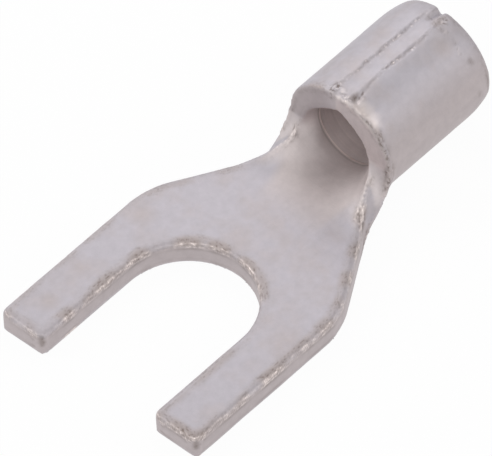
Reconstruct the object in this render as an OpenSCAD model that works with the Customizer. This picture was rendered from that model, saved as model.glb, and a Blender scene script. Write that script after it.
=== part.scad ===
// Non-insulated fork terminal for a crimped cable end, M4 stud, 1.5 to 2.5 mm2 cable.
// It is stamped from copper sheet, its wide end is rolled into a barrel along +X,
// the butt seam on top of the barrel is brazed, and the whole piece is tin plated.
// The origin is the centre of the stud slot, on the underside of the tongue.
// The fork opens towards -X, the cable enters from +X, and +Z is up.

/* [Sheet] */
// Thickness of the sheet, and so of the barrel's wall
sheet_t = 0.8; // [0.6:0.05:1]
// Radius that the stamping leaves along the sheet's upper edges
edge_roll = 0.17; // [0.06:0.01:0.24]

/* [Fork] */
// Width across the two arms
fork_w = 7.7; // [7:0.05:8.6]
// Width of the stud slot
slot_w = 4.3; // [3.2:0.05:4.5]
// Distance from the tips of the arms to the slot's centre
slot_reach = 3.8; // [2.5:0.05:6]
// Corner radius of the tips
tip_r = 0.26; // [0.26:0.02:0.6]
// Distance from the slot's centre to the shoulder corners
shoulder_x = 2.5; // [1.8:0.05:2.8]
// Corner radius of the shoulders
shoulder_r = 2.8; // [0.4:0.1:3]

/* [Neck] */
// Width of the neck between the fork and the barrel
neck_w = 4; // [3.6:0.05:4.4]
// Length of the neck, from the tapered shoulders to the barrel's mouth
neck_l = 1.15; // [1.1:0.05:1.6]
// Radius where the shoulders run into the neck
neck_r = 0.8; // [0.5:0.1:1.2]
// Length over which the sheet bends from the flat tongue to the barrel's full curve
trough_l = 2.35; // [1.6:0.05:3]

/* [Barrel] */
// Diameter of the barrel's bore
bore_d = 2.3; // [2.1:0.05:2.8]
// Length of the barrel
barrel_l = 4.6; // [3.8:0.05:7]
// Distance from the slot's centre to the barrel's mouth
mouth_x = 6.75; // [6.6:0.05:7.4]
// Radius where the neck's edge sweeps up into the mouth's edge
mouth_r = 0.65; // [0.3:0.05:0.7]
// Radius of the mouth's inner edge, which the rolling tightens
rim_roll = 0.06; // [0.03:0.01:0.15]
// Length of the rounded outer edge at the cable end
rear_round_l = 0.85; // [0.2:0.05:1]
// Depth of that rounding at the end face
rear_round_h = 0.13; // [0.04:0.01:0.15]

/* [Seam] */
// Width of the brazed band along the seam
seam_w = 0.6; // [0.4:0.02:0.9]
// Depth of the hollow that the braze leaves along the seam
seam_depth = 0.05; // [0.03:0.01:0.1]
// Width of the groove that the rolled corners of the joined edges leave along the top of the bore
cusp_w = 0.5; // [0.3:0.05:0.8]
// Depth of that groove
cusp_depth = 0.17; // [0.08:0.01:0.2]
// Width of the nick where the seam runs out at the cable end
nick_w = 0.6; // [0.2:0.05:0.7]
// Depth of that nick
nick_depth = 0.36; // [0.1:0.02:0.36]
// Length of that nick along the seam
nick_l = 1; // [0.4:0.1:1.5]

/* [Wire grooves] */
// Number of grooves round the bore
groove_count = 3; // [1:1:4]
// Width of each groove
groove_w = 0.65; // [0.3:0.05:0.8]
// Depth of each groove
groove_depth = 0.07; // [0.03:0.01:0.12]
// Distance from the mouth to the first groove
groove_start = 0.42; // [0.3:0.02:0.6]
// Distance from the last groove to the cable end
groove_end = 0.9; // [0.5:0.05:1.2]

/* [Hidden] */

// Barrel
bore_r = bore_d / 2;
barrel_r = bore_r + sheet_t;
bend_r = bore_r + sheet_t / 2;
rear_x = mouth_x + barrel_l;

// The barrel sits this much higher than the tongue, and the sheet reaches its full curve
// behind the mouth, twice as deep inside the barrel's wall and short of the first groove
joint_seat = 0.01;
joint_gap = 0.02;
axis_z = barrel_r + joint_seat;
joint_x = mouth_x + groove_start - joint_gap;
trough_x = joint_x - trough_l;
neck_x = mouth_x - neck_l;

// Facets of the bent sheet and of the rounded ends
corner_steps = 6;
root_steps = 24;
mouth_steps = 8;
roll_steps = 3;
rear_steps = 5;
cusp_steps = 4;
rib_half = 16;
rib_step = 0.25;

// Cuts run past the faces they open, and the slot's cut trims its walls by the skin
past = 1;
slot_skin = 0.01;
slot_r = slot_w / 2;
slot_wall = slot_r - slot_skin;

// Half the blank's edge, from the slot to the mouth: corners [x, y] and their radii
blank_corners = [
    [0, slot_wall],
    [-slot_reach, slot_wall],
    [-slot_reach, fork_w / 2],
    [shoulder_x, fork_w / 2],
    [neck_x, neck_w / 2],
    [mouth_x + joint_seat, neck_w / 2],
    [mouth_x + joint_seat, PI * bend_r],
];
blank_radii = [0, tip_r, tip_r, shoulder_r, neck_r, mouth_r, 0];

function unit(v) = v / norm(v);
function left_of(v) = [-v[1], v[0]];
function spin(v, angle) = [v[0] * cos(angle) - v[1] * sin(angle), v[0] * sin(angle) + v[1] * cos(angle)];
function last(list) = list[len(list) - 1];
function reversed(list) = [for (i = [len(list) - 1 : -1 : 0]) list[i]];

// Arc of radius r that rounds corner b between a and c, as stations of the edge:
// a station is [x, y, outward normal x, outward normal y], and outward is to the left
function rounded(a, b, c, r, steps) =
    let (
        u = unit(b - a),
        w = unit(c - b),
        side = sign(u[0] * w[1] - u[1] * w[0]),
        sweep = acos(u * w),
        centre = b - u * r * tan(sweep / 2) + left_of(u) * side * r
    )
    [for (i = [0 : steps])
        let (out = spin(left_of(u), side * sweep * i / steps))
        concat(centre - out * side * r, out)];

function corner(i, steps) =
    rounded(blank_corners[i - 1], blank_corners[i], blank_corners[i + 1], blank_radii[i], steps);

// Stations between two stations of a straight edge, no further apart than rib_step along x
function between(a, b) =
    let (steps = ceil((b[0] - a[0]) / rib_step))
    [for (i = [1 : 1 : steps - 1]) a + (b - a) * i / steps];

// The edge from the shoulder to the mouth, cut where the flat tongue starts to bend up
side_corners = concat(corner(3, corner_steps), corner(4, corner_steps), corner(5, mouth_steps));
side_n = len(side_corners) - 1;
side_edge = concat(
    [for (i = [0 : side_n - 1]) each
        concat([side_corners[i]], between(side_corners[i], side_corners[i + 1]))],
    [side_corners[side_n]]
);
flat_side = [for (s = side_edge) if (s[0] < trough_x) s];
bent_side = [for (s = side_edge) if (s[0] > trough_x) s];
bend_from = last(flat_side);
bend_step = bent_side[0] - bend_from;
bend_start = bend_from + bend_step * (trough_x - bend_from[0]) / bend_step[0];

// The half edge, from the mouth forward round the fork to the slot's root
slot_root = [for (i = [0.5 : root_steps]) let (a = 90 * i / root_steps)
    [slot_wall * cos(a), slot_wall * sin(a), -cos(a), -sin(a)]];
bent_edge = concat([bend_start], bent_side);
flat_edge = concat(corner(1, corner_steps), corner(2, corner_steps), flat_side);
half_edge = concat(reversed(bent_edge), reversed(flat_edge), reversed(slot_root));
bent_n = len(bent_edge) - 1;
half_n = len(half_edge) - 1;
edge_n = 2 * half_n + 1;
function mirrored(s) = [s[0], -s[1], s[2], -s[3]];
function edge_at(i) = i <= half_n ? half_edge[i] : mirrored(half_edge[edge_n - i]);

// How the sheet bends at x: 0 is flat and 1 is the barrel's full curve
function clamped(v) = min(max(v, 0), 1);
function bend_share(x) =
    let (s = clamped((x - trough_x) / trough_l))
    s * s * (3 - 2 * s);

// By the mouth the two wings of the sheet close up to the barrel's curve, towards their tips
function wing_share(x, y) =
    let (s = x > mouth_x - mouth_r ? clamped((abs(y) - neck_w / 2) / mouth_r) : 0)
    s * s;

// Point of the bent sheet, from a point x, y of the blank and its height h in the sheet
function bent(x, y, h) =
    let (even = bend_share(x), share = even + (1 - even) * wing_share(x, y))
    share == 0 ? [x, y, h]
    : let (
        r = bend_r / share,
        angle = y / r * 180 / PI,
        skin = seated(h, wing_share(x, y))
    )
    [x, (r + skin) * sin(angle), r + sheet_t / 2 - (r + skin) * cos(angle)];

// Distance of height h from the sheet's middle, and with a share of 1 inside the barrel's wall
function seated(h, share) = (sheet_t / 2 - h) * (1 - 4 * joint_seat * share / sheet_t);

// Radius of the rolled upper edge at x, which tightens along the trough
function roll_at(x) =
    let (s = clamped((x - trough_x) / (mouth_x - trough_x)))
    edge_roll + (rim_roll - edge_roll) * s * s * (3 - 2 * s);

// Profile of the edge at x, from level 0 at the underside over the rolled top: [inset, height]
top_level = roll_steps + 1;
level_n = top_level + 1;
function profile(x, level) =
    let (roll = roll_at(x), a = 90 * (level - 1) / roll_steps)
    level == 0 ? [0, 0] : [roll * (1 - cos(a)), sheet_t - roll * (1 - sin(a))];

// Points of the sheet: its edge, its upper and lower ribs, and its end inside the barrel's wall
function level_xy(i, level) =
    let (s = edge_at(i), inset = profile(s[0], level)[0])
    [s[0] - s[2] * inset, s[1] - s[3] * inset];
function edge_point(i, level) =
    let (p = level_xy(i, level))
    bent(p[0], p[1], profile(edge_at(i)[0], level)[1]);
function skin_height(level) = level == 0 ? 0 : sheet_t;
function rib_point(i, j, level) =
    let (p = level_xy(i, level))
    bent(p[0], p[1] * (1 - j / rib_half), skin_height(level));
function end_point(j, level) =
    let (
        angle = half_edge[0][1] * (1 - j / rib_half) / bend_r * 180 / PI,
        r = bend_r + seated(skin_height(level), 1)
    )
    [joint_x, r * sin(angle), axis_z - r * cos(angle)];

rib_n = 2 * rib_half;
rib_inner = rib_n - 1;
upper_from = (edge_n + 1) * level_n;
lower_from = upper_from + (bent_n + 1) * rib_inner;
inner_from = lower_from + (bent_n + 1) * rib_inner;
outer_from = inner_from + rib_n + 1;
sheet_points = concat(
    [for (i = [0 : edge_n]) for (level = [0 : top_level]) edge_point(i, level)],
    [for (i = [0 : bent_n]) for (j = [1 : rib_inner]) rib_point(i, j, top_level)],
    [for (i = [0 : bent_n]) for (j = [1 : rib_inner]) rib_point(i, j, 0)],
    [for (j = [0 : rib_n]) end_point(j, top_level)],
    [for (j = [0 : rib_n]) end_point(j, 0)]
);

function edge_id(i, level) = i * level_n + level;
function rib_id(i, j, from, level) =
    j == 0 ? edge_id(i, level)
    : j == rib_n ? edge_id(edge_n - i, level)
    : from + i * rib_inner + j - 1;
function upper_id(i, j) = rib_id(i, j, upper_from, top_level);
function lower_id(i, j) = rib_id(i, j, lower_from, 0);
function inner_id(j) = inner_from + j;
function outer_id(j) = outer_from + j;

// Triangles of edge stations that fill the flat of one arm: i goes along the arm's outer edge,
// j along the slot, and whichever lags behind in x moves on towards the tip
outer_end = bent_n + len(flat_side) + corner_steps + 1;
inner_end = outer_end + 1;
function arm(i, j, level) =
    i == outer_end && j == inner_end ? []
    : i < outer_end && (j == inner_end || level_xy(i + 1, level)[0] > level_xy(j - 1, level)[0])
        ? concat([[i, j, i + 1]], arm(i + 1, j, level))
        : concat([[i, j, j - 1]], arm(i, j - 1, level));

// Triangles between the slot's root and the first rib, as edge stations [station, 0]
// or as places on that rib [bent_n, place]
web = concat(
    [for (j = [0 : rib_half - 1]) [[bent_n, j], [bent_n, j + 1], [half_n, 0]]],
    [[[bent_n, rib_half], [half_n + 1, 0], [half_n, 0]]],
    [for (j = [rib_half : rib_n - 1]) [[bent_n, j], [bent_n, j + 1], [half_n + 1, 0]]]
);
function flat_id(p, from, level) =
    p[0] == bent_n ? rib_id(bent_n, p[1], from, level) : edge_id(p[0], level);
function flat_faces(from, level) = concat(
    [for (t = web) [for (p = t) flat_id(p, from, level)]],
    [for (t = arm(bent_n, half_n, level)) [for (i = t) edge_id(i, level)]],
    [for (t = arm(bent_n, half_n, level)) [for (i = reversed(t)) edge_id(edge_n - i, level)]]
);

// The faces, seen from outside: the edge all round, both skins of the trough with their run
// into the barrel, the three sides of that run, and the flat of the fork above and below
sheet_faces = concat(
    [for (i = [0 : edge_n - 1]) for (k = [0 : top_level - 1])
        [edge_id(i, k), edge_id(i, k + 1), edge_id(i + 1, k + 1), edge_id(i + 1, k)]],
    [for (i = [0 : bent_n - 1]) for (j = [0 : rib_n - 1])
        [upper_id(i, j), upper_id(i, j + 1), upper_id(i + 1, j + 1), upper_id(i + 1, j)]],
    [for (i = [0 : bent_n - 1]) for (j = [0 : rib_n - 1])
        [lower_id(i, j), lower_id(i + 1, j), lower_id(i + 1, j + 1), lower_id(i, j + 1)]],
    [for (j = [0 : rib_n - 1]) [inner_id(j), inner_id(j + 1), upper_id(0, j + 1), upper_id(0, j)]],
    [for (j = [0 : rib_n - 1]) [outer_id(j), lower_id(0, j), lower_id(0, j + 1), outer_id(j + 1)]],
    [for (j = [0 : rib_n - 1]) [inner_id(j), outer_id(j), outer_id(j + 1), inner_id(j + 1)]],
    [concat([for (k = [top_level : -1 : 0]) edge_id(0, k)], [outer_id(0), inner_id(0)])],
    [concat([for (k = [0 : top_level]) edge_id(edge_n, k)], [inner_id(rib_n), outer_id(rib_n)])],
    flat_faces(upper_from, top_level),
    [for (t = flat_faces(lower_from, 0)) reversed(t)]
);

// Fork, neck and trough, in one piece as the blank is
module bent_sheet() {
    polyhedron(points = sheet_points, faces = sheet_faces, convexity = 6);
}

// Places a half section, drawn as [radius, distance from the slot's centre], round the barrel's axis
module round_barrel() {
    translate([0, 0, axis_z])
        rotate([0, 90, 0])
            rotate_extrude($fn = 96)
                children();
}

// Wall of the barrel, with a rolled edge at both ends of the bore
module wall_section() {
    round_r = (rear_round_l * rear_round_l + rear_round_h * rear_round_h) / (2 * rear_round_h);
    round_angle = asin(rear_round_l / round_r);
    polygon(concat(
        [for (i = [0 : roll_steps]) let (a = 90 * i / roll_steps)
            [bore_r + rim_roll * (1 - cos(a)), mouth_x + rim_roll * (1 - sin(a))]],
        [[barrel_r, mouth_x]],
        [for (i = [0 : rear_steps]) let (a = round_angle * i / rear_steps)
            [barrel_r - round_r * (1 - cos(a)), rear_x - rear_round_l + round_r * sin(a)]],
        [for (i = [roll_steps : -1 : 0]) let (a = 90 * i / roll_steps)
            [bore_r + edge_roll * (1 - cos(a)), rear_x - edge_roll * (1 - sin(a))]]
    ));
}

// Grooves that grip the strands, with sloped flanks and a floor that falls to the middle
module groove_sections() {
    pitch = (barrel_l - groove_start - groove_end - groove_w) / max(groove_count - 1, 1);
    flank = 0.8 * groove_depth;
    for (i = [0 : groove_count - 1])
        translate([bore_r, mouth_x + groove_start + i * pitch])
            polygon([
                [-past, 0],
                [0, 0],
                [flank, flank],
                [groove_depth, groove_w / 2],
                [flank, groove_w - flank],
                [0, groove_w],
                [-past, groove_w],
            ]);
}

module barrel() {
    round_barrel()
        difference() {
            wall_section();
            groove_sections();
        }
}

// Groove between the rolled corners of the joined edges, along the top of the bore
module seam_cusp() {
    half = cusp_w / 2;
    side_z = axis_z + sqrt(bore_r * bore_r - half * half);
    top_z = axis_z + bore_r + cusp_depth;
    rise = top_z - side_z;
    flank = [for (i = [0 : cusp_steps]) let (a = 90 * i / cusp_steps)
        [half * (1 - sin(a)), top_z - rise * cos(a)]];
    translate([mouth_x - past, 0, 0])
        rotate([90, 0, 90])
            linear_extrude(height = barrel_l + 2 * past)
                polygon(concat(
                    [[-half, side_z - rise], [half, side_z - rise]],
                    flank,
                    [for (i = [cusp_steps - 1 : -1 : 0]) [-flank[i][0], flank[i][1]]]
                ));
}

// Hollow between the rolled edges, which the braze does not quite fill
module seam_hollow() {
    half = seam_w / 2;
    hollow_r = (half * half + seam_depth * seam_depth) / (2 * seam_depth);
    edge_z = axis_z + sqrt(barrel_r * barrel_r - half * half);
    translate([mouth_x - past, 0, edge_z - seam_depth + hollow_r])
        rotate([0, 90, 0])
            cylinder(r = hollow_r, h = barrel_l + 2 * past, $fn = 96);
}

// Nick where the seam runs out at the cable end: a notch as wide as it says at the barrel's top
module seam_nick() {
    slope = atan(nick_depth / nick_l);
    translate([rear_x, 0, axis_z + barrel_r - nick_depth])
        rotate([0, slope, 0])
            rotate([90, 0, -90])
                linear_extrude(height = 2 * nick_l, center = true)
                    polygon([[0, 0], [nick_w, 2 * nick_depth], [-nick_w, 2 * nick_depth]]);
}

// Slot for the stud, open towards the tips
module stud_slot() {
    translate([0, 0, -past])
        linear_extrude(height = sheet_t + 2 * past)
            union() {
                circle(r = slot_r, $fn = 96);
                translate([-slot_reach - past, -slot_r])
                    square([slot_reach + past, slot_w]);
            }
}

module fork_terminal() {
    color("silver")
        difference() {
            union() {
                bent_sheet();
                barrel();
            }
            stud_slot();
            seam_cusp();
            seam_hollow();
            seam_nick();
        }
}

fork_terminal();
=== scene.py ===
"""Fork crimp terminal: one stamped, rolled and brazed copper blank with matt tin plating.

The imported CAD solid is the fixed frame. A merged copy of it gets a fine even skin, in which
the stamped edges, the brazed seam and the plating are worked as real relief, and it stands for
the CAD node. A white paper floor, soft lamps and the camera of the photograph make the stage.
"""
import math

import bpy
import numpy as np
from mathutils import Matrix, Vector, kdtree, noise


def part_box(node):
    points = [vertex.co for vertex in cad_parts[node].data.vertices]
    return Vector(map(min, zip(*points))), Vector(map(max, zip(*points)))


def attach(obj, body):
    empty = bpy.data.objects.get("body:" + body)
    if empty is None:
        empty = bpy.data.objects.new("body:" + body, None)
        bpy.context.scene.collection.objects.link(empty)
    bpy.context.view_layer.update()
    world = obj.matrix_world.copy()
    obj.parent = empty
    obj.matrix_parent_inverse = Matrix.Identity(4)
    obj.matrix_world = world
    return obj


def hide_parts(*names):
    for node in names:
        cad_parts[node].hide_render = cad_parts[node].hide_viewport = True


bl_info = {
    "name": "Fork Crimp Terminal",
    "version": (1, 0, 0),
    "blender": (4, 5, 0),
    "location": "View3D > Sidebar > Terminal",
    "description": "Tin-plated fork terminal with stamped edges and a brazed seam",
    "category": "Object",
}

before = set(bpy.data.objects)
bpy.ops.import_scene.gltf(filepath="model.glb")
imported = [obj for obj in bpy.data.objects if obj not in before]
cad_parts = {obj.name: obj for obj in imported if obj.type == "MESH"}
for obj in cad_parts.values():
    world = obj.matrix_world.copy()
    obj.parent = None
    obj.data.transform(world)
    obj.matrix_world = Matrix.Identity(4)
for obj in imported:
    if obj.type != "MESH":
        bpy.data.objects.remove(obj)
NODE = "fork_terminal"
MM = 0.001


def linear(hex_colour):
    """Linear RGB of an sRGB hex colour such as "#C8C0C4"."""
    channels = [int(hex_colour[i:i + 2], 16) / 255 for i in (1, 3, 5)]
    return [c / 12.92 if c <= 0.04045 else ((c + 0.055) / 1.055) ** 2.4 for c in channels]


# Sizes and colours that a user would change

class TerminalSkin(bpy.types.PropertyGroup):
    """Sizes of the relief that stamping, brazing and plating leave on the sheet"""

    voxel: bpy.props.FloatProperty(
        name="Skin step", description="Distance between the points of the fine skin",
        default=0.068 * MM, min=0.055 * MM, unit="LENGTH")
    relax_rounds: bpy.props.IntProperty(
        name="Relax rounds", description="Rounds of smoothing that ease the corners",
        default=2, min=0)
    wave_height: bpy.props.FloatProperty(
        name="Tumbling waves", description="Height of the gentle unevenness from barrel plating",
        default=0.010 * MM, unit="LENGTH")
    edge_relief: bpy.props.FloatProperty(
        name="Edge relief", description="Height of the nodules and pits along the stamped edges",
        default=0.020 * MM, unit="LENGTH")
    edge_band: bpy.props.FloatProperty(
        name="Edge band", description="Width of the pitted band beside the stamped edges",
        default=0.26 * MM, unit="LENGTH")
    seam_depth: bpy.props.FloatProperty(
        name="Seam line depth", description="Depth of the two broken lines beside the braze",
        default=0.034 * MM, unit="LENGTH")
    seam_width: bpy.props.FloatProperty(
        name="Seam line width", description="Width of those lines",
        default=0.1 * MM, unit="LENGTH")
    seed: bpy.props.IntProperty(name="Seed", description="Seed of the relief", default=7)


class TerminalColours(bpy.types.PropertyGroup):
    """Colours of the plating, some of which also paint light, shade and highlights"""

    tin: bpy.props.FloatVectorProperty(
        name="Tin", description="Matt tin plating", subtype="COLOR", default=linear("#C7C2C8"))
    tin_warm: bpy.props.FloatVectorProperty(
        name="Warm tin", description="Thin places, where the copper warms the tin",
        subtype="COLOR", default=linear("#C2B7B5"))
    edge: bpy.props.FloatVectorProperty(
        name="Stamped wall", description="Plating on the sheared walls", subtype="COLOR",
        default=linear("#C4BBBC"))
    # A colour lighter than the tin: painted light in the bore, the trough, the right of the rim's
    # face and the wings' faces
    bore: bpy.props.FloatVectorProperty(
        name="Bore", description="Plating in the barrel, its rim and the trough",
        subtype="COLOR", default=linear("#DDD4D3"))
    # Dark brown: oxide in the pits, and painted shade under each edge's crown and in front of each
    # burr line
    oxide_and_painted_shade: bpy.props.FloatVectorProperty(
        name="Oxide", description="Oxide in the pits", subtype="COLOR", default=linear("#75675F"))
    # Near-white of the glint mark: burnish on the crests, and painted highlights on them and on
    # other marks
    burnish_and_painted_highlight: bpy.props.FloatVectorProperty(
        name="Burnished tin", description="Crests that tumbling has burnished", subtype="COLOR",
        default=linear("#F3E7E2"))


class TerminalStage(bpy.types.PropertyGroup):
    """Camera, lamps and floor"""

    azimuth: bpy.props.FloatProperty(
        name="Azimuth", description="Side that the camera looks from",
        default=math.radians(-45.665), subtype="ANGLE")
    elevation: bpy.props.FloatProperty(
        name="Elevation", description="Height of the camera above the floor",
        default=math.radians(48.98), subtype="ANGLE")
    roll: bpy.props.FloatProperty(
        name="Roll", description="Turn of the camera about its view",
        default=math.radians(-2.97), subtype="ANGLE")
    target: bpy.props.FloatVectorProperty(
        name="Target", description="Point in the middle of the picture", subtype="TRANSLATION",
        default=(3.6852 * MM, 0.9953 * MM, 0))
    view_width: bpy.props.FloatProperty(
        name="View width", description="Width of the picture at the target",
        default=492 / 34.263 * MM, unit="LENGTH")
    lens: bpy.props.FloatProperty(
        name="Lens", description="Focal length in millimetres", default=1000)
    world_strength: bpy.props.FloatProperty(
        name="Room light", description="Strength of the white room, where 1 is white",
        default=0.587)
    key_power: bpy.props.FloatProperty(
        name="Key lamp", description="Power of the lamp above and behind the barrel",
        default=0.003, unit="POWER")
    side_power: bpy.props.FloatProperty(
        name="Side lamp", description="Power of the lamp that draws the edges",
        default=0.027, unit="POWER")
    front_power: bpy.props.FloatProperty(
        name="Front lamp", description="Power of the lamp that fills the trough",
        default=0.042, unit="POWER")
    left_power: bpy.props.FloatProperty(
        name="Left lamp", description="Power of the lamp that lights the mouth",
        default=0.036, unit="POWER")
    back_power: bpy.props.FloatProperty(
        name="Back lamp", description="Power of the lamp that lights the far side of the barrel",
        default=0.013, unit="POWER")
    floor_size: bpy.props.FloatProperty(
        name="Floor size", description="Side of the square floor", default=0.4, unit="LENGTH")


# Materials

WHITE = (1.0, 1.0, 1.0, 1.0)
# Share of plain white in the paper, as camera, mirror and glass rays see it
WHITE_SHARE = 0.95
# The marks that the skin keeps at each point, from 0 to 1, for the plating's colours, with
# painted highlights, painted shade and painted light among them
MARKS = ("pit", "glint", "wall", "bore", "warm")


def add_node(tree, kind, settings=(), links=()):
    """Adds a node, sets its properties or inputs by name, and links named inputs to sockets."""
    node = tree.nodes.new(kind)
    for name, value in dict(settings).items():
        if isinstance(name, str) and hasattr(node, name):
            setattr(node, name, value)
        else:
            node.inputs[name].default_value = value
    for name, socket in dict(links).items():
        tree.links.new(socket, node.inputs[name])
    return node


def new_material(name):
    """A material with an empty node tree, and that tree."""
    material = bpy.data.materials.new(name)
    material.use_nodes = True
    material.node_tree.nodes.clear()
    return material, material.node_tree


def opaque(rgb):
    """An RGB colour with full alpha."""
    return (*rgb, 1.0)


def tin_plate_material(colours):
    """Matt electroplated tin over stamped and rolled copper: a pale satin grey, faintly lilac,
    that warms where the plating is thin. Oxide darkens the pits, painted shade darkens the line
    under each edge's crown and the strip in front of each burr line, and the crests carry burnish
    and painted highlights. A lighter colour paints light into the barrel, the trough and the
    faces of the rim and the wings."""
    material, tree = new_material("matt_tin_plate_on_stamped_copper")
    place = add_node(tree, "ShaderNodeTexCoord").outputs["Object"]
    marks = {name: add_node(tree, "ShaderNodeAttribute", {"attribute_name": name}).outputs["Fac"]
             for name in MARKS}

    # Clouds of thinner plating, about 1.2 mm across, and mottling, about 0.25 mm across
    clouds = add_node(tree, "ShaderNodeTexNoise",
                      {"Scale": 850.0, "Detail": 3.0, "Roughness": 0.55}, {"Vector": place})
    cloud_share = add_node(tree, "ShaderNodeMapRange",
                           {"From Min": 0.45, "From Max": 0.75, "To Max": 0.55},
                           {"Value": clouds.outputs["Fac"]})
    warm_share = add_node(tree, "ShaderNodeMath", {"operation": "MAXIMUM"},
                          {0: cloud_share.outputs["Result"], 1: marks["warm"]})
    mottle = add_node(tree, "ShaderNodeTexNoise",
                      {"Scale": 4000.0, "Detail": 3.0, "Roughness": 0.65}, {"Vector": place})
    shade = add_node(tree, "ShaderNodeMapRange",
                     {"From Min": 0.3, "From Max": 0.7, "To Min": 0.955, "To Max": 1.04},
                     {"Value": mottle.outputs["Fac"]})
    base = add_node(tree, "ShaderNodeMix",
                    {"data_type": "RGBA", 6: opaque(colours.tin), 7: opaque(colours.tin_warm)},
                    {"Factor": warm_share.outputs["Value"]}).outputs[2]
    # The bore mark paints light: a lighter colour in the barrel, the trough, and the rim's and
    # wings' faces
    for mark, colour in (("wall", colours.edge), ("bore", colours.bore)):
        base = add_node(tree, "ShaderNodeMix", {"data_type": "RGBA", 7: opaque(colour)},
                        {"Factor": marks[mark], 6: base}).outputs[2]
    base = add_node(tree, "ShaderNodeVectorMath", {"operation": "SCALE"},
                    {"Vector": base, "Scale": shade.outputs["Result"]}).outputs["Vector"]
    # Oxide with painted shade darkens, then burnish with painted highlights lightens
    for mark, colour in (("pit", colours.oxide_and_painted_shade), ("glint", colours.burnish_and_painted_highlight)):
        base = add_node(tree, "ShaderNodeMix", {"data_type": "RGBA", 7: opaque(colour)},
                        {"Factor": marks[mark], 6: base}).outputs[2]
    roughness = add_node(tree, "ShaderNodeMapRange", {"To Min": 0.6, "To Max": 0.36},
                         {"Value": marks["glint"]})

    # Grain of the deposit: really a few microns, drawn at about 0.06 mm so that it shows
    grain = add_node(tree, "ShaderNodeTexNoise",
                     {"Scale": 16000.0, "Detail": 2.0, "Roughness": 0.6}, {"Vector": place})
    relief = add_node(tree, "ShaderNodeBump", {"Strength": 0.3, "Distance": 0.006 * MM},
                      {"Height": grain.outputs["Fac"]})
    # Fine tool lines round the bore, about 0.09 mm apart
    drawn_out = add_node(tree, "ShaderNodeMapping", {"Scale": (11000.0, 700.0, 700.0)},
                         {"Vector": place})
    lines = add_node(tree, "ShaderNodeTexNoise", {"Scale": 1.0, "Detail": 2.0, "Roughness": 0.5},
                     {"Vector": drawn_out.outputs["Vector"]})
    lines_in_bore = add_node(tree, "ShaderNodeMath", {"operation": "MULTIPLY"},
                             {0: lines.outputs["Fac"], 1: marks["bore"]})
    turned = add_node(tree, "ShaderNodeBump", {"Strength": 0.4, "Distance": 0.012 * MM},
                      {"Height": lines_in_bore.outputs["Value"],
                       "Normal": relief.outputs["Normal"]})
    surface = add_node(tree, "ShaderNodeBsdfPrincipled", {"Metallic": 1.0},
                       {"Base Color": base, "Roughness": roughness.outputs["Result"],
                        "Normal": turned.outputs["Normal"]})
    add_node(tree, "ShaderNodeOutputMaterial", {}, {"Surface": surface.outputs["BSDF"]})
    return material


def floor_material():
    """Matt white studio paper. Camera, mirror and glass rays see it near white, and the shadow
    on it stays."""
    material, tree = new_material("matt_white_paper")
    paper = add_node(tree, "ShaderNodeBsdfDiffuse", {"Color": opaque(linear("#F0F0F0"))})
    white = add_node(tree, "ShaderNodeEmission", {"Color": WHITE, "Strength": 1.0})
    path = add_node(tree, "ShaderNodeLightPath")
    seen = add_node(tree, "ShaderNodeMath", {"operation": "MAXIMUM"},
                    {0: path.outputs["Is Camera Ray"], 1: path.outputs["Is Glossy Ray"]})
    seen_all = add_node(tree, "ShaderNodeMath", {"operation": "MAXIMUM"},
                        {0: seen.outputs["Value"], 1: path.outputs["Is Transmission Ray"]})
    share = add_node(tree, "ShaderNodeMath", {"operation": "MULTIPLY", 1: WHITE_SHARE},
                     {0: seen_all.outputs["Value"]})
    mixed = add_node(tree, "ShaderNodeMixShader", {},
                     {0: share.outputs["Value"], 1: paper.outputs["BSDF"],
                      2: white.outputs["Emission"]})
    add_node(tree, "ShaderNodeOutputMaterial", {}, {"Surface": mixed.outputs["Shader"]})
    return material


# Sizes of this terminal. From here to the operators, lengths are in millimetres

BARREL_AXIS_Z = 1.96
BARREL_R = 1.95
BORE_R = 1.15
# Faces outside the first radius are the barrel's outer wall, and outside the second the wings'
OUTER_WALL_R, WING_R = 1.6, 1.1
# Places along x: the wings and the rim's face, and where the full barrel and its bore begin
WING_START, RIM_START, RIM_END = 5.2, 6.6, 7
BARREL_START, BORE_START = 6.9, 6.95
# The rim's face stands above this height, and the wings' faces below it
RIM_BOTTOM_Z = 1.9
# Most that the normal's x may be on the rim's face and on the wings', which face the fork, and
# the tilt under which a face counts as an upright wall
RIM_FACING, WING_FACING, WALL_TILT = -0.6, -0.35, 0.35
# Runs along x over which a feature sets in or dies out: the mouth's uneven round, the smoothed
# face from the wings into the bore, the mouth's edges, and the plating in trough and bore
ROUND_IN, ROUND_OUT = (6.1, 6.65), (6.8, 7.14)
SMOOTH_IN, SMOOTH_OUT = (5.9, 6.3), (6.95, 7.12)
MOUTH_EDGE_IN = (6.3, 6.6)
TROUGH_IN, BORE_IN = (3.8, 5.8), (6.9, 7.25)

# How far the opening's edge at the mouth strays outwards from round: degrees from the top
# towards the left wing, and millimetres. The left wing spreads, and the sheet is thicker on
# the right of the seam
MOUTH_STRAY = ((-115, 0), (-95, -0.09), (-77, -0.15), (-55, -0.16), (-40, -0.16), (-20, -0.1),
               (-8, 0), (5, 0), (18, -0.05), (33, -0.1), (50, -0.07), (66, 0.02), (85, 0.14),
               (100, 0.2), (125, 0))
# The wire grooves of this one are rolled less deep: the share of their depth that is left
GROOVE_SHARE = 0.4
# The widest reach of a groove beyond the bore, and the height below which it counts as one
GROOVE_REACH, GROOVE_TOP = 0.12, 0.95
SMOOTHING_ROUNDS, SMOOTHING_SHARE = 30, 0.6

# Edges are where the skin turns more sharply than this, in 1/mm. Along one, points within
# this reach tell its run, and where the second spread is under this share it runs straight
EDGE_BULGE = 2.2
EDGE_REACH = 0.22
STRAIGHT_SHARE = 0.3
ALIKE_NORMALS = 0.97
# Edges below the first height are the sharp lower ones, and above the second the upper ones
LOWER_EDGE_Z, UPPER_EDGE_Z = 0.35, 0.45
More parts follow.
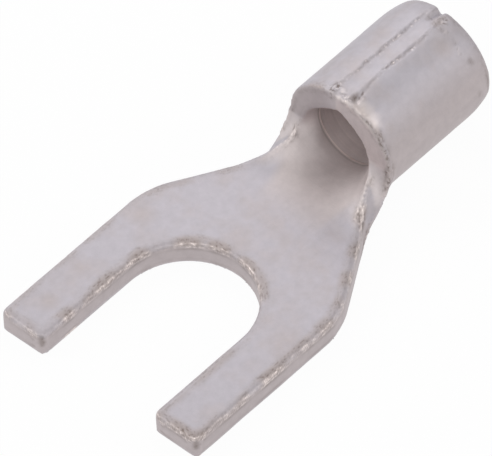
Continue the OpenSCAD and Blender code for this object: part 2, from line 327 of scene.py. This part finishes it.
# How far the finer skin reaches beside the upper edges and the seam, and beside a burr line
FINE_REACH, FINE_REACH_IN_BORE = 0.115, 0.06
# Places taken along each run of a seam line, and degrees between those along a burr line
SEAM_STEPS, BURR_STEP = 24, 1.5
# Points of the CAD copy that lie closer than this are merged
WELD = 0.0005
# The worked skin stays this far inside the CAD node's box
BOX_MARGIN = 1e-5

# The two lines beside the braze, seen from above as x, y, and how strong each is
SEAM_LINES = (
    (0.8, ((6.8, 0.27), (7.4, 0.27), (8.5, 0.26), (9.8, 0.24), (11.2, 0.25))),
    (1.0, ((7.0, -0.52), (7.15, -0.47), (7.5, -0.4), (8.0, -0.35), (8.5, -0.31), (9.2, -0.37),
           (9.9, -0.38), (10.4, -0.34), (10.95, -0.32))),
)
# The braze's hollow lies this far below the barrel's round
SEAM_HOLLOW = 0.02
# Single marks: path, half width, height, oxide, gloss, which also paints a highlight, and how
# crumbly it is from 0 to 1
SINGLE_MARKS = (
    # Blob where the braze ran out at the mouth, its tail, and the cold lap below it
    (((6.98, -0.42, 3.87), (7.13, -0.5, 3.84)), 0.19, -0.025, 0.9, 0.0, 0.3),
    (((7.15, -0.5, 3.85), (7.36, -0.44, 3.86)), 0.08, -0.02, 0.55, 0.0, 0.8),
    (((6.75, -0.36, 3.74), (6.75, -0.5, 3.56)), 0.06, -0.02, 0.6, 0.0, 0.5),
    # Crumbly braze across the mouth's edge, and the fin that runs down the rim's face, both with
    # painted highlights
    (((7.02, 0.02, 3.9), (6.84, -0.16, 3.87), (6.78, -0.42, 3.78)), 0.17, 0.012, 0.3, 0.45, 1.0),
    (((7.08, 0.28, 3.87), (6.84, 0.3, 3.85)), 0.16, 0.0, 0.6, 0.25, 1.0),
    (((6.77, -0.03, 3.8), (6.75, -0.01, 3.2)), 0.1, 0.015, 0.0, 0.35, 0.2),
    (((6.75, 0.25, 3.62), (6.75, 0.29, 3.6)), 0.05, -0.02, 0.5, 0.0, 0.0),
    # Darker sheared band under the rim's outer edge
    (((6.75, 1.55, 2.95), (6.75, 1.2, 3.35), (6.75, 0.7, 3.62), (6.75, 0.4, 3.7)),
     0.12, 0.0, 0.2, 0.0, 0.5),
    # Painted highlight on the barrel behind the mouth's edge, and the bruised edge beside it
    (((6.96, -0.72, 3.77), (6.95, -0.98, 3.64), (6.93, -1.2, 3.49)), 0.3, 0.0, 0.0, 0.5, 0.1),
    (((6.77, -0.9, 3.66), (6.77, -1.2, 3.48), (6.77, -1.5, 3.17), (6.77, -1.75, 2.78),
      (6.77, -1.88, 2.4), (6.78, -1.93, 1.9)), 0.08, -0.012, 0.65, 0.0, 0.6),
    # Dings along the rounding of the cable end
    (((10.95, -0.42, 3.84), (11.05, -0.36, 3.84)), 0.12, -0.01, 0.6, 0.3, 0.9),
    (((10.68, -0.48, 3.84), (10.72, -0.7, 3.77)), 0.09, -0.01, 0.35, 0.2, 0.8),
    (((10.72, -0.98, 3.64), (10.7, -1.02, 3.6)), 0.08, -0.01, 0.35, 0.0, 0.6),
    (((10.66, -1.2, 3.5), (10.62, -1.3, 3.4)), 0.07, -0.01, 0.3, 0.2, 0.8),
    (((10.78, -1.54, 3.13), (10.82, -1.58, 3.06)), 0.1, -0.012, 0.4, 0.0, 0.3),
    (((10.72, -1.93, 2.05), (10.76, -1.94, 1.9)), 0.09, -0.01, 0.25, 0.0, 0.5),
    # Bruised corners of the two tips
    (((-3.74, 2.24, 0.66), (-3.76, 2.22, 0.46)), 0.13, -0.02, 0.65, 0.0, 0.3),
    (((-3.72, -3.8, 0.64), (-3.73, -3.8, 0.44)), 0.12, -0.02, 0.6, 0.0, 0.3),
    # Painted highlights on the rolled edge of the right-hand wing
    (((5.74, -1.78, 1.16), (5.66, -1.85, 1.04)), 0.05, 0.01, 0.0, 0.9, 0.0),
    (((5.62, -1.9, 0.98), (5.55, -1.95, 0.92)), 0.05, 0.01, 0.0, 0.8, 0.0),
)
# Height of the grit on a fully crumbly mark
GRIT_HEIGHT = 0.012
# Burr lines that the groove tool left round the bore: place along x, height, gloss, which also
# paints a highlight along the line
BURR_LINES = ((7.17, 0.018, 0.9), (7.42, 0.004, 0.15), (7.72, 0.004, 0.15), (8.02, 0.01, 0.35))
# Half width of a burr line, and how far in front of it its strip of painted shade lies, with that
# strip's half width
BURR_WIDTH, FOOT_GAP, FOOT_WIDTH = 0.028, 0.06, 0.03
# Points up to this radius can carry a burr line
BURR_R = 1.32
# Thin plating, where the copper shows warm through the tin: place and radius
WARM_PLACES = (((10.3, -0.9, 3.65), 0.7), ((8.6, -1.6, 3.0), 0.6), ((7.3, -1.6, 3.1), 0.6),
               ((1.6, 3.2, 0.8), 0.7), ((-2.6, 3.0, 0.8), 0.6))
# Places where the stamped edge round the slot's end is torn: place and radius
ROUGH_PLACES = (((1.65, 1.38, 0.8), 0.6), ((2.1, 0.6, 0.8), 0.55), ((2.08, -0.5, 0.8), 0.6),
                ((1.65, -1.38, 0.8), 0.6))
# Relief is worked this far beside an edge
BAND_REACH = 0.4
# Streaks along the edges: features per mm, and how far each is drawn out along the edge
COARSE_STREAKS, FINE_STREAKS = (7.0, 0.08), (19.0, 0.03)


# The fine skin of the sheet

def select_only(piece):
    """Makes piece the active object and the only selected one."""
    bpy.ops.object.select_all(action="DESELECT")
    bpy.context.view_layer.objects.active = piece
    piece.select_set(True)


def fine_skin(node, name, voxel, relax_rounds):
    """A merged copy of the CAD node in millimetres, with an even fine skin and eased corners."""
    mesh = node.data.copy()
    mesh.materials.clear()
    mesh.transform(Matrix.Scale(1 / MM, 4))
    piece = bpy.data.objects.new(name, mesh)
    bpy.context.scene.collection.objects.link(piece)
    select_only(piece)
    bpy.ops.object.mode_set(mode="EDIT")
    bpy.ops.mesh.select_all(action="SELECT")
    bpy.ops.mesh.remove_doubles(threshold=WELD)
    bpy.ops.object.mode_set(mode="OBJECT")
    remesh = piece.modifiers.new("fine skin", "REMESH")
    remesh.mode = "VOXEL"
    remesh.voxel_size = voxel
    bpy.ops.object.modifier_apply(modifier=remesh.name)
    relax = piece.modifiers.new("eased corners", "SMOOTH")
    relax.iterations = relax_rounds
    bpy.ops.object.modifier_apply(modifier=relax.name)
    return piece


def tree_of(places):
    """A search tree of the given places."""
    tree = kdtree.KDTree(len(places))
    for i, place in enumerate(places):
        tree.insert(place, i)
    tree.balance()
    return tree


def eased(low, high, values):
    """0 below low, 1 above high, with a smooth run between."""
    t = np.clip((values - low) / (high - low), 0, 1)
    return t * t * (3 - 2 * t)


class Skin:
    """Points, normals and neighbours of a mesh, as arrays."""

    def __init__(self, mesh):
        self.mesh = mesh
        count = len(mesh.vertices)
        self.points = np.zeros(count * 3)
        mesh.vertices.foreach_get("co", self.points)
        self.points = self.points.reshape(-1, 3)
        self.normals = np.zeros(count * 3)
        mesh.vertices.foreach_get("normal", self.normals)
        self.normals = self.normals.reshape(-1, 3)
        ends = np.zeros(len(mesh.edges) * 2, int)
        mesh.edges.foreach_get("vertices", ends)
        self.ends = ends.reshape(-1, 2)
        self.degree = np.bincount(self.ends.ravel(), minlength=count)

    def move_to(self, points):
        """Puts the mesh's points at the given places."""
        self.mesh.vertices.foreach_set("co", points.ravel())
        self.mesh.update()

    def neighbours(self, values):
        """Mean of values over each point's neighbours."""
        values = np.asarray(values, float)
        total = np.zeros_like(values)
        np.add.at(total, self.ends[:, 0], values[self.ends[:, 1]])
        np.add.at(total, self.ends[:, 1], values[self.ends[:, 0]])
        return total / self.degree.reshape((-1,) + (1,) * (values.ndim - 1))

    def blurred(self, values, rounds):
        """Values evened out over the skin, half way to the neighbours' mean in each round."""
        for _ in range(rounds):
            values = 0.5 * values + 0.5 * self.neighbours(values)
        return values

    def bulge(self):
        """How sharply the skin turns at each point, in 1/mm, positive where it bulges."""
        pull = self.neighbours(self.points) - self.points
        steps = np.linalg.norm(self.points[self.ends[:, 0]] - self.points[self.ends[:, 1]], axis=1)
        turn = -4 * np.einsum("ij,ij->i", pull, self.normals) / np.mean(steps) ** 2
        return self.blurred(turn, 2)


def crests_of(mesh):
    """The points on the bulging edges of a mesh, the direction in which each edge runs, and the
    normals. The lower edges are sharp, so their points are evened to hide the skin's steps."""
    skin = Skin(mesh)
    bulging = skin.bulge() > EDGE_BULGE
    crest, outward = skin.points[bulging], skin.normals[bulging]
    tree = tree_of(crest)
    along = np.zeros((len(crest), 3))
    evened = crest.copy()
    for i, place in enumerate(crest):
        beside = [j for _, j, _ in tree.find_range(place, EDGE_REACH)]
        spread = crest[beside] - crest[beside].mean(axis=0)
        spreads, directions = np.linalg.eigh(spread.T @ spread)
        along[i] = directions[:, 2]
        straight = spreads[1] < STRAIGHT_SHARE * spreads[2]
        if place[2] < LOWER_EDGE_Z and straight:
            alike = [j for j in beside if outward[j] @ outward[i] > ALIKE_NORMALS]
            shift = crest[alike].mean(axis=0) - place
            evened[i] += shift - along[i] * (shift @ along[i])
    skin.points[bulging] = evened
    skin.move_to(skin.points)
    return evened, along, outward


def distances(points, places):
    """Distance from each point to the nearest of places, and the number of that place."""
    tree = tree_of(places)
    found = [tree.find(point) for point in points]
    return np.array([f[2] for f in found]), np.array([f[1] for f in found])


def split_near(piece, places, reach):
    """Splits the faces of a piece that lie within reach of any of places, for finer relief."""
    mesh = piece.data
    centres = np.zeros(len(mesh.polygons) * 3)
    mesh.polygons.foreach_get("center", centres)
    distance, _ = distances(centres.reshape(-1, 3), places)
    select_only(piece)
    bpy.ops.object.mode_set(mode="EDIT")
    bpy.ops.mesh.select_mode(type="FACE")
    bpy.ops.mesh.select_all(action="DESELECT")
    bpy.ops.object.mode_set(mode="OBJECT")
    mesh.polygons.foreach_set("select", distance < reach)
    bpy.ops.object.mode_set(mode="EDIT")
    bpy.ops.mesh.subdivide(number_cuts=1)
    bpy.ops.object.mode_set(mode="OBJECT")


def clouds_at(points, scale, seed):
    """Smooth noise from -1 to 1 at each point, with features about 1/scale mm across."""
    shift = Vector((seed * 7.13, seed * 3.71, seed * 5.37))
    return np.array([noise.noise(Vector(p) * scale + shift) for p in points])


def streaks_at(points, along, scale, reach, seed):
    """Noise drawn out along the given directions, from about -1 to 1."""
    steps = (-1.0, -0.5, 0.0, 0.5, 1.0)
    layers = [clouds_at(points + along * reach * t, scale, seed) for t in steps]
    # The mean of the layers is flatter than one layer, so it is stretched
    return 1.7 * np.mean(layers, axis=0)


def path_distance(points, path):
    """Distance from each point to a path of straight runs."""
    best = np.full(len(points), np.inf)
    for start, end in zip(path[:-1], path[1:]):
        run = end - start
        t = np.clip((points - start) @ run / (run @ run), 0, 1)
        best = np.minimum(best, np.linalg.norm(points - (start + t[:, None] * run), axis=1))
    return best


def shape_mouth(mesh):
    """Gives the opening at the mouth its uneven round, and makes the wire grooves shallower."""
    skin = Skin(mesh)
    x = skin.points[:, 0]
    across = skin.points[:, 1:] - (0, BARREL_AXIS_Z)
    radius = np.hypot(across[:, 0], across[:, 1])
    in_groove = ((x > BORE_START) & (radius > BORE_R) & (radius < BORE_R + GROOVE_REACH)
                 & (across[:, 1] < GROOVE_TOP))
    wanted = np.where(in_groove, BORE_R + GROOVE_SHARE * (radius - BORE_R), radius)
    angle = np.degrees(np.arctan2(across[:, 0], across[:, 1]))
    stray = np.interp(angle, *zip(*MOUTH_STRAY))
    at_mouth = eased(*ROUND_IN, x) * (1 - eased(*ROUND_OUT, x))
    wanted += stray * (at_mouth * (1 - eased(BORE_R + 0.1, BORE_R + 0.7, radius)))
    skin.points[:, 1:] = across * (wanted / radius)[:, None] + (0, BARREL_AXIS_Z)

    # The inner face runs smoothly from the wings into the bore
    inward = -(skin.normals[:, 1] * across[:, 0] + skin.normals[:, 2] * across[:, 1]) / radius
    from_wings_to_bore = eased(*SMOOTH_IN, x) * (1 - eased(*SMOOTH_OUT, x))
    share = from_wings_to_bore * eased(0.5, 0.8, inward) * (1 - eased(1.5, 1.7, radius))
    for _ in range(SMOOTHING_ROUNDS):
        pull = skin.neighbours(skin.points) - skin.points
        skin.points += share[:, None] * SMOOTHING_SHARE * pull
    skin.move_to(skin.points)


def seam_paths():
    """The lines beside the braze, as paths on the barrel's outer wall."""
    return [np.array([(x, y, BARREL_AXIS_Z + math.sqrt(BARREL_R ** 2 - y ** 2) - SEAM_HOLLOW)
                      for x, y in line]) for _, line in SEAM_LINES]


def seam_places():
    """Places close together along the lines beside the braze."""
    steps = np.linspace(0, 1, SEAM_STEPS)[:, None, None]
    runs = [(start, end) for path in seam_paths() for start, end in zip(path[:-1], path[1:])]
    return np.concatenate([start + (end - start) * t for start, end in runs
                           for t in steps]).reshape(-1, 3)


def bore_rings():
    """Places along the burr lines in the bore."""
    turns = np.radians(np.arange(0, 360, BURR_STEP))
    return np.array([(x, BORE_R * math.sin(a), BARREL_AXIS_Z - BORE_R * math.cos(a))
                     for x, _, _ in BURR_LINES for a in turns])


# The relief and the marks on the skin

class Relief(Skin):
    """The fine skin while it is worked: how far each point is lifted, and its marks."""

    def __init__(self, mesh):
        super().__init__(mesh)
        self.x, self.y, self.z = self.points.T
        self.radius = np.hypot(self.y, self.z - BARREL_AXIS_Z)
        self.lift, self.pit, self.glint, self.wall, self.bore, self.warm = np.zeros(
            (6, len(self.points)))


def add_edges(relief, crests, sizes):
    """Stamped edges: streaky nodules on the crest with painted highlights, pits in a band beside
    it, and a thin line of painted shade under it.
    """
    crest, along, outward = crests
    distance, nearest = distances(relief.points, crest)
    band = np.flatnonzero(distance < BAND_REACH)
    points, distance, nearest = relief.points[band], distance[band], nearest[band]
    run, outward = along[nearest], outward[nearest]
    coarse = streaks_at(points, run, *COARSE_STREAKS, sizes.seed)
    fine = streaks_at(points, run, *FINE_STREAKS, sizes.seed + 1)
    patchy = eased(-0.25, 0.35, clouds_at(points, 1.3, sizes.seed + 2))
    for place, reach in ROUGH_PLACES:
        gap = np.linalg.norm(points - np.array(place), axis=1)
        patchy = np.maximum(patchy, 1 - eased(0.4 * reach, reach, gap))

    # The edges towards -x and -y get the most relief, pits and painted highlights.
    # Upright edges and the mouth's inner edge get the least
    side_share = 0.4 + 0.6 * eased(-0.3, 0.3, -0.7 * (outward[:, 0] + outward[:, 1]))
    mouth_edge = eased(*MOUTH_EDGE_IN, points[:, 0])
    inner_edge = mouth_edge * (1 - eased(1.4, 1.6, relief.radius[band]))
    level = 1 - eased(0.5, 0.8, np.abs(run[:, 2]) * (1 - mouth_edge))
    near_edge = 1 - eased(0.0, sizes.edge_band / MM, distance)
    rough = near_edge * (0.25 + 0.75 * patchy) * side_share * level
    rough *= 1 - 0.8 * inner_edge

    # The crown of the edge has burnish and painted highlights. Pits lie on the upper face beside
    # it, and a thin line of painted shade on the wall under it
    facing_up = relief.normals[band, 2]
    topside = rough * eased(-0.1, 0.3, facing_up)
    crown = (1 - eased(0.0, 0.08, distance)) * (1 - eased(0.78, 0.95, facing_up))
    crown = crown * (1 - 0.8 * mouth_edge)
    under = eased(0.02, 0.06, distance) * (1 - eased(0.1, 0.16, distance))
    under = under * (1 - eased(0.3, 0.5, facing_up))
    specks = eased(0.05, 0.5, -0.35 * coarse - 0.75 * fine)
    sparkles = eased(-0.05, 0.45, 0.4 * coarse + 0.7 * fine)
    relief.lift[band] += sizes.edge_relief / MM * topside * (0.5 * coarse + 0.5 * fine)
    relief.pit[band] = topside * (1 - 0.7 * crown) * (0.2 + 0.6 * specks) + 0.3 * rough * under
    relief.glint[band] = topside * crown * (0.2 + 0.8 * sparkles)
    relief.warm[band] = topside


def add_seam_lines(relief, sizes):
    """Broken lines beside the braze, with grit and a few painted highlights in them."""
    half = sizes.seam_width / MM / 2
    for path, (strength, _) in zip(seam_paths(), SEAM_LINES):
        gap = path_distance(relief.points, path)
        close = np.flatnonzero(gap < 3 * half)
        points = relief.points[close]
        broken = eased(-0.35, 0.35, clouds_at(points, 2.2, sizes.seed + 3))
        grit = eased(-0.5, 0.5, clouds_at(points, 9.0, sizes.seed + 4))
        sparks = eased(0.25, 0.5, clouds_at(points, 12.0, sizes.seed + 8))
        share = strength * (1 - eased(0.3 * half, 2.4 * half, gap[close]))
        share = share * (0.4 + 0.6 * broken) * (0.3 + 0.7 * grit)
        relief.lift[close] -= sizes.seam_depth / MM * share
        relief.pit[close] = np.maximum(relief.pit[close], 0.5 * share * (1 - sparks))
        relief.glint[close] = np.maximum(relief.glint[close], 0.7 * share * sparks)


def add_single_marks(relief, seed):
    """Blobs, dings, bruises and painted highlights, each with ragged borders."""
    for path, width, height, oxide_and_painted_shade, gloss, crumbly in SINGLE_MARKS:
        gap = path_distance(relief.points, np.array(path))
        close = np.flatnonzero(gap < 1.8 * width)
        points = relief.points[close]
        ragged = gap[close] * (1 + 0.35 * clouds_at(points, 8.0, seed + 5))
        share = 1 - eased(0.1 * width, 1.4 * width, ragged)
        grit = 1.2 * clouds_at(points, 8.0, seed + 6) + 1.2 * clouds_at(points, 17.0, seed + 7)
        dark = oxide_and_painted_shade * share * (1 - crumbly + 1.3 * crumbly * eased(-0.1, 0.7, -grit))
        bright = gloss * share * (1 - crumbly + 1.3 * crumbly * eased(-0.1, 0.7, grit))
        relief.lift[close] += share * (height + GRIT_HEIGHT * crumbly * grit)
        relief.pit[close] = np.maximum(relief.pit[close] * (1 - share), dark)
        relief.glint[close] = np.maximum(relief.glint[close] * (1 - share), bright)


def add_burr_lines(relief):
    """Burr lines round the bore, each with a painted highlight on it and a strip of painted shade
    in front.
    """
    in_bore = (relief.radius < BURR_R) & (relief.x > BORE_START)
    for x, height, gloss in BURR_LINES:
        ridge = np.where(in_bore, np.exp(-((relief.x - x) / BURR_WIDTH) ** 2), 0)
        painted_shade_foot = np.where(in_bore, np.exp(-((relief.x - x + FOOT_GAP) / FOOT_WIDTH) ** 2), 0)
        relief.lift += height * ridge
        relief.glint = np.maximum(relief.glint, gloss * ridge)
        relief.pit = np.maximum(relief.pit, 0.4 * gloss * painted_shade_foot)


def mark_plating(relief):
    """Marks the sheared walls and the warm places, and paints light, as a lighter colour, into the
    inside of the barrel, the trough, the right of the rim's face and the wings' faces.
    """
    x, y, z, radius = relief.x, relief.y, relief.z, relief.radius
    from_axis = z - BARREL_AXIS_Z
    outer_wall = (x > BARREL_START) & (radius > OUTER_WALL_R)
    facing_in = -(relief.normals[:, 1] * y + relief.normals[:, 2] * from_axis)
    facing_in = facing_in / np.maximum(radius, 0.01)
    facing_fork = relief.normals[:, 0]

    # Painted light, as a lighter colour: the bore, the rim's face on the right, and the faces of
    # both wings
    bore = eased(*BORE_IN, x) * (1 - eased(1.3, 1.5, radius)) * eased(0.0, 0.4, facing_in)
    rim = (x > RIM_START) & (x < RIM_END) & (z > RIM_BOTTOM_Z) & (facing_fork < RIM_FACING)
    wing = ((x > WING_START) & (x < RIM_END) & (z <= RIM_BOTTOM_Z)
            & (facing_fork < WING_FACING) & (radius > WING_R))
    faces = rim * eased(-0.8, 0.3, -y) + 0.8 * wing * eased(0.8, 1.2, z)
    bore = np.maximum(bore, relief.blurred(faces, 2))
    wall = relief.blurred((np.abs(relief.normals[:, 2]) < WALL_TILT).astype(float), 3)
    relief.wall = np.where(outer_wall, 0, wall) * (1 - bore)
    # The trough gets part of the same painted light
    trough = eased(*TROUGH_IN, x) * eased(0.2, 0.6, facing_in) * (1 - eased(1.5, 1.8, radius))
    relief.bore = np.maximum(bore, 0.6 * trough)

    # Warm are the places of thin plating, the trough, and the barrel's right flank
    for place, reach in WARM_PLACES:
        gap = np.linalg.norm(relief.points - np.array(place), axis=1)
        relief.warm = np.maximum(relief.warm, 0.6 * (1 - eased(0.0, reach, gap)))
    turned_down = np.degrees(np.arctan2(-y, from_axis))
    on_flank = eased(25, 75, turned_down) * (1 - eased(120, 160, turned_down))
    flank = np.where(outer_wall, on_flank, 0)
    relief.warm = np.maximum(relief.warm, np.maximum(0.8 * trough, 0.7 * flank))


def keep_relief(relief):
    """Moves the points by their lift, inside the CAD node's box, and stores the marks."""
    low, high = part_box(NODE)
    moved = relief.points + relief.normals * relief.lift[:, None]
    moved = np.clip(moved, np.array(low) / MM + BOX_MARGIN, np.array(high) / MM - BOX_MARGIN)
    relief.mesh.vertices.foreach_set("co", moved.ravel())
    for name in MARKS:
        values = np.clip(getattr(relief, name), 0, 1).astype(np.float32)
        attribute = relief.mesh.attributes.new(name, "FLOAT", "POINT")
        attribute.data.foreach_set("value", values)
    relief.mesh.update()


def work_skin(piece, sizes):
    """Works the relief of stamping, brazing and tumbling into the skin, and keeps its marks."""
    shape_mouth(piece.data)
    crests = crests_of(piece.data)
    crest = crests[0]
    upper = crest[:, 2] > UPPER_EDGE_Z
    split_near(piece, np.concatenate([crest[upper], seam_places()]), FINE_REACH)
    split_near(piece, bore_rings(), FINE_REACH_IN_BORE)

    relief = Relief(piece.data)
    # Gentle unevenness of the whole sheet, in waves about 1.1 and 0.4 mm across
    waves = 0.6 * clouds_at(relief.points, 0.9, 1) + 0.4 * clouds_at(relief.points, 2.6, 2)
    relief.lift += sizes.wave_height / MM * waves
    add_edges(relief, crests, sizes)
    add_seam_lines(relief, sizes)
    add_single_marks(relief, sizes.seed)
    add_burr_lines(relief)
    mark_plating(relief)
    keep_relief(relief)


# Operators

class OBJECT_OT_tinned_sheet(bpy.types.Operator):
    """Makes the tin-plated blank, with its stamped edges and brazed seam, for the CAD node"""

    bl_idname = "object.tinned_sheet"
    bl_label = "Tinned sheet"

    def execute(self, context):
        sizes = context.scene.terminal_skin
        piece = fine_skin(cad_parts[NODE], "tinned_terminal", sizes.voxel / MM,
                          sizes.relax_rounds)
        work_skin(piece, sizes)
        piece.data.transform(Matrix.Scale(MM, 4))
        select_only(piece)
        bpy.ops.object.shade_smooth()
        piece.data.materials.append(tin_plate_material(context.scene.terminal_colours))
        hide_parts(NODE)
        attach(piece, "root")
        return {"FINISHED"}


# The lamps, in metres: place from the target, and side of the square
LAMPS = {
    "key": ((0.026, 0.02, 0.038), 0.025),
    "side": ((0.075, -0.11, 0.08), 0.06),
    "front": ((-0.07, -0.05, 0.12), 0.1),
    "left": ((-0.07, 0.1, 0.08), 0.06),
    "back": ((0.03, 0.1, 0.06), 0.06),
}
# The paper lies this far below the terminal, so that no faces coincide
FLOOR_GAP = 0.02 * MM


def soft_lamp(name, place, aim, size, power):
    """A square area lamp at place that faces aim."""
    data = bpy.data.lights.new(name, "AREA")
    data.size = size
    data.energy = power
    lamp = bpy.data.objects.new(name, data)
    lamp.location = place
    lamp.rotation_euler = (aim - place).to_track_quat("-Z", "Y").to_euler()
    bpy.context.scene.collection.objects.link(lamp)


def photo_camera(stage):
    """The camera of the photograph, level but for its roll, with the target in the middle."""
    azimuth, elevation, roll = stage.azimuth, stage.elevation, stage.roll
    right = Vector((math.cos(azimuth), math.sin(azimuth), 0))
    back = Vector((math.sin(azimuth) * math.cos(elevation),
                   -math.cos(azimuth) * math.cos(elevation), math.sin(elevation)))
    up = back.cross(right)
    across = right * math.cos(roll) + up * math.sin(roll)
    upward = up * math.cos(roll) - right * math.sin(roll)
    data = bpy.data.cameras.new("photo_camera")
    data.lens = stage.lens
    distance = stage.view_width * stage.lens / data.sensor_width
    data.clip_end = 2 * distance
    camera = bpy.data.objects.new("photo_camera", data)
    turn = Matrix((across, upward, back)).transposed().to_4x4()
    camera.matrix_world = Matrix.Translation(Vector(stage.target) + back * distance) @ turn
    return camera


class SCENE_OT_terminal_stage(bpy.types.Operator):
    """Makes the white floor, the soft light and the camera of the photograph"""

    bl_idname = "scene.terminal_stage"
    bl_label = "Stage"

    def execute(self, context):
        stage = context.scene.terminal_stage
        target = Vector(stage.target)

        bpy.ops.object.select_all(action="DESELECT")
        bpy.ops.mesh.primitive_plane_add(size=stage.floor_size, location=(0, 0, -FLOOR_GAP))
        floor = context.active_object
        floor.name = "paper_floor"
        floor.data.materials.append(floor_material())

        world = bpy.data.worlds.new("white_studio")
        context.scene.world = world
        world.use_nodes = True
        world.node_tree.nodes.clear()
        light = add_node(world.node_tree, "ShaderNodeBackground",
                         {"Color": WHITE, "Strength": stage.world_strength})
        add_node(world.node_tree, "ShaderNodeOutputWorld", {},
                 {"Surface": light.outputs["Background"]})
        for name, (place, size) in LAMPS.items():
            power = getattr(stage, name + "_power")
            soft_lamp(name + "_lamp", target + Vector(place), target, size, power)

        camera = photo_camera(stage)
        context.scene.collection.objects.link(camera)
        context.scene.camera = camera
        context.scene.view_settings.view_transform = "Standard"
        return {"FINISHED"}


class VIEW3D_PT_fork_terminal(bpy.types.Panel):
    """Lists the steps and settings of the terminal"""

    bl_idname = "VIEW3D_PT_fork_terminal"
    bl_label = "Fork terminal"
    bl_space_type = "VIEW_3D"
    bl_region_type = "UI"
    bl_category = "Terminal"

    def draw(self, context):
        layout = self.layout
        for step in STEPS:
            layout.operator(step)
        for group in SETTINGS:
            settings = getattr(context.scene, group)
            for name in settings.bl_rna.properties.keys():
                if name not in ("rna_type", "name"):
                    layout.prop(settings, name)


STEPS = ("object.tinned_sheet", "scene.terminal_stage")
SETTINGS = {"terminal_skin": TerminalSkin, "terminal_colours": TerminalColours,
            "terminal_stage": TerminalStage}
CLASSES = (*SETTINGS.values(), OBJECT_OT_tinned_sheet, SCENE_OT_terminal_stage,
           VIEW3D_PT_fork_terminal)


def register():
    for kind in CLASSES:
        bpy.utils.register_class(kind)
    for name, kind in SETTINGS.items():
        setattr(bpy.types.Scene, name, bpy.props.PointerProperty(type=kind))


def unregister():
    for name in SETTINGS:
        delattr(bpy.types.Scene, name)
    for kind in reversed(CLASSES):
        bpy.utils.unregister_class(kind)


def main():
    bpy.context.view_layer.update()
    register()
    bpy.ops.object.tinned_sheet()
    bpy.ops.scene.terminal_stage()


if __name__ == "__main__":
    main()
